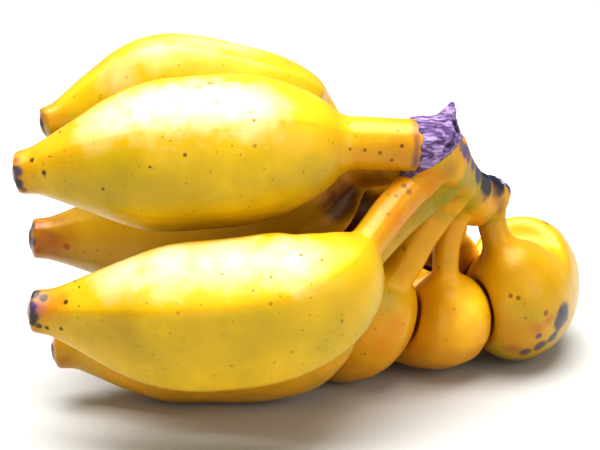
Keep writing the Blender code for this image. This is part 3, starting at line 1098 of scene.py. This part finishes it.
        ((50, -20, 77), (38, -7, 70), (24, 5, 63), (6, 21, 59), (-16, 43, 57), (-46, 73, 50)),
        stalk=7.2, girth=21.5, tip=7.0, swell_from=36, swell=40, taper=52,
        ridges=(26, 98, 170, 242, 314), ripeness=Ripeness.AMBER,
        marks=(
            # Painted shade: dark brown deep between the stalks
            Mark((345, 205), 16.0, PAINTED_SHADE_BROWN, 0.9), Mark((325, 215), 12.0, PAINTED_SHADE_BROWN, 0.9),
            Mark((424, 264), 9.0, PAINTED_SHADE_BROWN, 0.9),
        ),
    ),
    FingerShape(
        "finger_side_inner",
        ((57, -9, 68), (51.5, 2, 57), (50, 14, 42), (46, 31, 27.5), (38, 48, 21), (33, 74, 20),
         (24, 105, 18)),
        stalk=5.4, girth=16.4, tip=6.5, swell_from=32, swell=34, taper=48,
        ridges=(64, 136, 208, 280, 352), ripeness=Ripeness.AMBER,
        marks=(
            # Painted shade: dark brown on the stalk and shoulder, which lie in shade between the other
            # stalks
            Mark((425, 275), 10.0, "#4A2404", 0.9), Mark((425, 263), 8.0, "#4A2404", 0.9),
            Mark((468, 262), 8.0, "#A05C06", 0.6, 0.8), Mark((466, 244), 6.0, "#844A04", 0.75, 0.8),
        ),
    ),
)


@dataclass(frozen=True)
class CutWood:
    """The crown: dried, mauve-grey fibres where the hand was cut off, and firm skin below them."""

    pale: str = "#A890B8"
    fibre: str = "#5C4470"
    dark: str = "#1C1226"
    skin: str = "#C89006"
    orange: str = "#BC700A"
    green: str = "#8C8008"
    marks: tuple[Mark, ...] = (
        Mark((500, 198), 6.0, "#A8700E", 0.6, 0.9), Mark((486, 178), 8.0, "#02040C", 1.0, 0.25),
        Mark((496, 181), 6.0, "#0A1828", 0.95, 0.3), Mark((479, 174), 4.2, "#2E2248", 0.9),
        Mark((508, 186), 3.0, "#2A3660", 0.9), Mark((511, 195), 2.2, "#38426A", 0.85),
        Mark((494, 192), 4.0, "#7A4A1A", 0.7, 0.7), Mark((501, 206), 4.0, "#8A5216", 0.7, 0.8),
        Mark((466, 151), 3.2, "#50406E", 0.95), Mark((469, 156), 3.2, "#50406E", 0.95),
        Mark((473, 162), 3.4, "#463A66", 0.95), Mark((478, 168), 3.6, "#3A3058", 0.95),
        Mark((462, 146), 2.4, "#50406E", 0.8), Mark((442, 202), 10.0, LEAF_GREEN, 0.85, 0.9),
        Mark((464, 208), 6.0, "#84820A", 0.5, 0.9), Mark((482, 222), 3.4, "#B8600A", 0.6, 0.8),
        Mark((431, 187), 8.0, "#BC740A", 0.75, 0.9), Mark((448, 172), 5.0, "#A0640C", 0.6, 0.9),
    )
    roughness: float = 0.78
    skin_roughness: float = 0.48
    lean_degrees: float = 32.0
    stretch: float = 0.22
    specular: float = 0.2

    def material(self, item: bpy.types.Object) -> bpy.types.Material:
        """Build the crown's material from the mask on its mesh.

        Args:
            item: The crown.

        Returns:
            The crown's material.
        """
        nodes = Nodes("crown_cut_wood")
        nodes.shader.inputs["Specular IOR Level"].default_value = self.specular
        add = nodes.add
        place = add("TexCoord").outputs["Object"]
        cut = add("Attribute", {"attribute_name": "cut"}).outputs["Fac"]

        # Fibres lie slantwise across the cut, about 1.6 mm apart, with dark pits about 5 mm apart
        lean = (0.0, math.radians(self.lean_degrees), 0.0)
        slanted = add("Mapping", Vector=place, Rotation=lean, Scale=(self.stretch, 1.0, 1.0))
        fibres = add(
            "TexNoise", Vector=slanted.outputs[0], Scale=620.0, Detail=4.0, Roughness=0.65, Distortion=0.6
        ).outputs["Fac"]
        light = add("MapRange", Value=fibres, From_Min=0.46, From_Max=0.62).outputs["Result"]
        wood = add(
            "Mix", {"data_type": "RGBA"}, i0=light, i6=srgb(self.fibre), i7=srgb(self.pale)
        ).outputs[2]
        pits = add("TexVoronoi", Vector=slanted.outputs[0], Scale=210.0)
        hole = add(
            "MapRange", Value=pits.outputs["Distance"], From_Min=0.18, From_Max=0.34,
            To_Min=0.95, To_Max=0.0,
        ).outputs["Result"]
        pick = add("SeparateColor", Color=pits.outputs["Color"]).outputs[0]
        chosen = add("Math", {"operation": "LESS_THAN"}, i0=pick, i1=0.6).outputs[0]
        pit = add("Math", {"operation": "MULTIPLY"}, i0=hole, i1=chosen).outputs[0]
        wood = add("Mix", {"data_type": "RGBA"}, i0=pit, i6=wood, i7=srgb(self.dark)).outputs[2]
        grooves = add("MapRange", Value=fibres, From_Min=0.30, From_Max=0.44, To_Min=0.8, To_Max=0.0)
        wood = add(
            "Mix", {"data_type": "RGBA"}, i0=grooves.outputs["Result"], i6=wood, i7=srgb(self.dark)
        ).outputs[2]

        # Below the cut the skin is ochre with green and orange streaks
        patches = add("TexNoise", Vector=place, Scale=70.0, Detail=3.0).outputs["Fac"]
        greened = add(
            "MapRange", Value=patches, From_Min=0.45, From_Max=0.62, To_Max=0.75
        ).outputs["Result"]
        skin = add(
            "Mix", {"data_type": "RGBA"}, i0=greened, i6=srgb(self.skin), i7=srgb(self.green)
        ).outputs[2]
        streaks = add("TexNoise", Vector=place, Scale=190.0, Detail=3.0).outputs["Fac"]
        rusty = add("MapRange", Value=streaks, From_Min=0.52, From_Max=0.70, To_Max=0.7).outputs["Result"]
        skin = add("Mix", {"data_type": "RGBA"}, i0=rusty, i6=skin, i7=srgb(self.orange)).outputs[2]

        edge = add("MapRange", Value=streaks, To_Min=-0.16, To_Max=0.16).outputs["Result"]
        ragged = add("Math", {"operation": "ADD"}, i0=cut, i1=edge).outputs[0]
        mask = add("MapRange", Value=ragged, From_Min=0.42, From_Max=0.58).outputs["Result"]
        colour = add("Mix", {"data_type": "RGBA"}, i0=mask, i6=skin, i7=wood).outputs[2]
        colour = nodes.lay_stains_and_painted_light(colour, place, streaks, place_marks(item, self.marks))

        rough = add(
            "MapRange", Value=mask, To_Min=self.skin_roughness, To_Max=self.roughness
        ).outputs["Result"]
        height = add("Math", {"operation": "MULTIPLY"}, i0=fibres, i1=mask).outputs[0]
        bump = add("Bump", Strength=0.8, Distance=0.0012, Height=height).outputs["Normal"]
        return nodes.finish(colour, rough, bump)


@dataclass(frozen=True)
class Station:
    """One section of the crown's block: its middle, its half thickness and its half height."""

    middle: tuple[float, float, float]
    half_depth: float
    half_height: float


@dataclass
class Crown:
    """The cushion that all ten stalks grow from, with its cut, its splinter and its dried knob.

    cut_edge is a place across and up on the cut's lower edge, which climbs by cut_rise and fades out
    between the two places of cut_end. The strip of dried wood fades in between those of strip_start,
    above the shares of the half height in strip_height.
    """

    stations: tuple[Station, ...] = (
        Station((33, -49, 95), 9.0, 9.5),
        Station((40, -47, 94.5), 9.5, 10.5),
        Station((43, -41, 89.5), 9.0, 10.0),
        Station((47, -32, 82), 8.0, 8.0),
        Station((52, -21, 74), 7.5, 7.0),
        Station((57, -9, 65.5), 7.0, 9.5),
        Station((63, 1, 65), 6.5, 6.5),
        Station((67, 5, 63), 5.0, 5.0),
    )
    spike_foot: tuple[float, float, float] = (44, -45, 100)
    spike_top: tuple[float, float, float] = (47, -44, 109.5)
    spike_foot_radius: float = 6.0
    spike_top_radius: float = 0.8
    knob_middle: tuple[float, float, float] = (63.0, 0.0, 69.0)
    knob_radius: float = 4.2
    knob_shape: tuple[float, float, float] = (1.2, 1.0, 0.7)
    cut_edge: tuple[float, float] = (34.0, 86.5)
    cut_rise: float = 0.62
    cut_end: tuple[float, float] = (50.0, 55.0)
    strip_start: tuple[float, float] = (44.0, 50.0)
    strip_height: tuple[float, float] = (0.45, 0.75)
    fibre_lean: tuple[float, float] = (0.85, 0.53)
    fibre_depth: float = 0.6

    def build(self, fingers: list[Finger]) -> bpy.types.Object:
        """Model the crown with a stub for each finger.

        Args:
            fingers: The finished fingers.

        Returns:
            The crown in metres.
        """
        block = self._block()
        parts = [self._spike(), self._knob()]
        parts += [finger.skin.loft("stub", finger.skin.stub_rings()) for finger in fingers]
        for part in parts:
            apply_modifier(block, "BOOLEAN", operation="UNION", solver="MANIFOLD", object=part)
            bpy.data.objects.remove(part, do_unlink=True)
        apply_modifier(block, "REMESH", mode="VOXEL", voxel_size=CROWN_STEP)
        apply_modifier(block, "SMOOTH", factor=0.5, iterations=8)
        self._mark_cut(block)
        block.data.transform(Matrix.Scale(MM, 4))
        block.data.shade_smooth()
        return block

    def _block(self) -> bpy.types.Object:
        """Draw a rounded square out through the stations.

        Returns:
            The crown's block in millimetres.
        """
        middles = [Vector(station.middle) + HAND_SHIFT for station in self.stations]
        deselect()
        bpy.ops.mesh.primitive_plane_add(size=2.0, rotation=(0.0, math.pi / 2, 0.0))
        item = bpy.context.object
        item.name = "crown_cushion"
        bpy.ops.object.transform_apply(rotation=True)
        bpy.ops.object.mode_set(mode="EDIT")
        bpy.ops.mesh.select_all(action="SELECT")
        bpy.ops.mesh.bevel(offset_type="PERCENT", offset_pct=36, segments=5, affect="VERTICES")
        for _ in self.stations[1:]:
            bpy.ops.mesh.extrude_region_move(TRANSFORM_OT_translate={"value": (1.0, 0.0, 0.0)})
        bpy.ops.object.mode_set(mode="OBJECT")
        last = len(middles) - 1
        for vertex in item.data.vertices:
            index = min(round(vertex.co.x), last)
            station = self.stations[index]
            heading = (middles[min(index + 1, last)] - middles[max(index - 1, 0)]).normalized()
            across = heading.cross(Vector((0, 0, 1))).normalized()
            upright = across.cross(heading)
            vertex.co = (
                middles[index] + across * (vertex.co.y * station.half_depth)
                + upright * (vertex.co.z * station.half_height)
            )
        make_active(item)
        bpy.ops.object.mode_set(mode="EDIT")
        bpy.ops.mesh.select_all(action="SELECT")
        bpy.ops.mesh.normals_make_consistent(inside=False)
        bpy.ops.object.mode_set(mode="OBJECT")
        return item

    def _spike(self) -> bpy.types.Object:
        """Add the splinter that was left standing at the top of the cut.

        Returns:
            The splinter, a slim cone.
        """
        foot, top = Vector(self.spike_foot) + HAND_SHIFT, Vector(self.spike_top) + HAND_SHIFT
        axis = top - foot
        deselect()
        bpy.ops.mesh.primitive_cone_add(
            vertices=10, radius1=self.spike_foot_radius, radius2=self.spike_top_radius, depth=axis.length,
            location=(foot + top) / 2, rotation=axis.to_track_quat("Z", "Y").to_euler(),
        )
        bpy.ops.object.transform_apply(location=True, rotation=True)
        return bpy.context.object

    def _knob(self) -> bpy.types.Object:
        """Add the dried knob on the crown's far end.

        Returns:
            The knob, a flattened ball.
        """
        deselect()
        bpy.ops.mesh.primitive_ico_sphere_add(
            subdivisions=3, radius=self.knob_radius, location=Vector(self.knob_middle) + HAND_SHIFT
        )
        bpy.ops.transform.resize(value=self.knob_shape)
        bpy.ops.object.transform_apply(location=True, scale=True)
        return bpy.context.object

    def _mark_cut(self, item: bpy.types.Object) -> None:
        """Write where the crown is cut wood, and roughen it there along its fibres.

        The cut face lies above a slanting edge at the front end, and a strip of dried wood runs on
        from it along the crown's back.

        Args:
            item: The crown in millimetres.
        """
        middles = [Vector(station.middle) + HAND_SHIFT for station in self.stations]
        cuts = []
        for vertex in item.data.vertices:
            place = vertex.co
            near, half_height = self._nearest(middles, place)
            height = (place.z - near.z) / half_height
            across = place.x - HAND_SHIFT.x
            edge = self.cut_edge[1] + (across - self.cut_edge[0]) * self.cut_rise
            face = smooth_step(-1.2, 1.2, place.z - edge) * (1 - smooth_step(*self.cut_end, across))
            strip = smooth_step(*self.strip_height, height) * smooth_step(*self.strip_start, place.x)
            cuts.append(max(face, strip))
        level, lean = self.fibre_lean
        normals = [vertex.normal.copy() for vertex in item.data.vertices]
        for vertex, normal, cut in zip(item.data.vertices, normals, cuts):
            along = vertex.co.x * level + vertex.co.z * lean
            across = vertex.co.z * level - vertex.co.x * lean
            grain = noise.noise(Vector((along * 0.08, vertex.co.y * 0.3, across * 0.6)))
            vertex.co += normal * ((grain - 0.35) * self.fibre_depth * cut)
        attribute = item.data.attributes.new("cut", "FLOAT", "POINT")
        attribute.data.foreach_set("value", cuts)

    def _nearest(self, middles: list[Vector], place: Vector) -> tuple[Vector, float]:
        """Find the block's middle line next to a point.

        Args:
            middles: The stations' middles in millimetres.
            place: The point.

        Returns:
            The nearest point of the middle line, and the block's half height there.
        """
        found = []
        for index, (start, end) in enumerate(zip(middles, middles[1:])):
            share = clamp((place - start).dot(end - start) / (end - start).length_squared)
            near = start.lerp(end, share)
            low, high = self.stations[index].half_height, self.stations[index + 1].half_height
            found.append(((place - near).length, near, low + (high - low) * share))
        _, near, half_height = min(found, key=lambda entry: entry[0])
        return near, half_height

    def dress(self, item: bpy.types.Object) -> None:
        """Give the crown its material and let it stand for its solid.

        Args:
            item: The finished crown.
        """
        item.data.materials.clear()
        item.data.materials.append(CutWood().material(item))
        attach(item, "root")
        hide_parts("crown")


@dataclass(frozen=True)
class Studio:
    """A plain pale floor and soft light from above."""

    floor: str = "#C6C6C4"
    sky: str = "#FFFFFF"
    sky_strength: float = 0.25
    floor_drop: float = 0.0003
    key_place: tuple[float, float, float] = (-0.05, 0.02, 1.0)
    key_power: float = 27.5
    key_size: float = 1.1
    fill_place: tuple[float, float, float] = (0.95, -0.75, 0.45)
    fill_power: float = 4.4
    low_place: tuple[float, float, float] = (-0.15, -1.3, 0.12)
    low_power: float = 2.6
    side_size: float = 0.8
    aim: tuple[float, float, float] = (0.0, 0.0, 0.06)

    def build(self) -> None:
        """Add the floor, the lights and the background."""
        deselect()
        bpy.ops.mesh.primitive_plane_add(size=8.0, location=(0.0, 0.0, -self.floor_drop))
        floor = bpy.context.object
        floor.name = "studio_floor"
        nodes = Nodes("studio_paper")
        nodes.shader.inputs["Base Color"].default_value = srgb(self.floor)
        nodes.shader.inputs["Roughness"].default_value = 0.9
        floor.data.materials.append(nodes.material)
        floor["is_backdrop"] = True
        self._panel("key_light", self.key_place, self.key_size, self.key_power)
        self._panel("fill_light", self.fill_place, self.side_size, self.fill_power)
        self._panel("low_light", self.low_place, self.side_size, self.low_power)
        world = bpy.data.worlds.new("studio_air")
        world.use_nodes = True
        background = world.node_tree.nodes["Background"]
        background.inputs["Color"].default_value = srgb(self.sky)
        background.inputs["Strength"].default_value = self.sky_strength
        bpy.context.scene.world = world
        bpy.context.scene.view_settings.view_transform = "Standard"
        bpy.context.scene.view_settings.look = "Medium High Contrast"

    def _panel(self, name: str, place: tuple[float, float, float], size: float, power: float) -> None:
        """Add a square soft light that faces the hand.

        Args:
            name: The light's name.
            place: Its middle in metres.
            size: The length of its side in metres.
            power: Its power in watts.
        """
        deselect()
        turn = (Vector(self.aim) - Vector(place)).to_track_quat("-Z", "Y").to_euler()
        bpy.ops.object.light_add(type="AREA", location=place, rotation=turn)
        light = bpy.context.object
        light.name = name
        light.data.size = size
        light.data.energy = power


def write_sizes() -> None:
    """Write the solids' box and the dressed hand's box."""
    boxes = {"cad": CAD_BOX, "visual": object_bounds()}
    sizes = {name: [list(corner) for corner in box] for name, box in boxes.items()}
    for name, box in sizes.items():
        corners = [[round(number / MM, 1) for number in corner] for corner in box]
        LOG.info("%s box in mm: %s", name, corners)


def main() -> None:
    """Build the hand, dress it and light it."""
    logging.basicConfig(level=logging.INFO, format="%(message)s")
    VIEW.build()
    fingers = []
    for shape in FINGERS:
        finger = Finger(shape)
        item = finger.build(fingers)
        fingers.append(finger)
        LOG.info("%s: %d points", item.name, len(item.data.vertices))
    crown = Crown()
    cushion = crown.build(fingers)
    LOG.info("%s: %d points", cushion.name, len(cushion.data.vertices))
    for finger in fingers:
        bpy.data.objects.remove(finger.cutter, do_unlink=True)
        finger.dress()
    crown.dress(cushion)
    Studio().build()
    write_sizes()


if __name__ == "__main__":
    main()
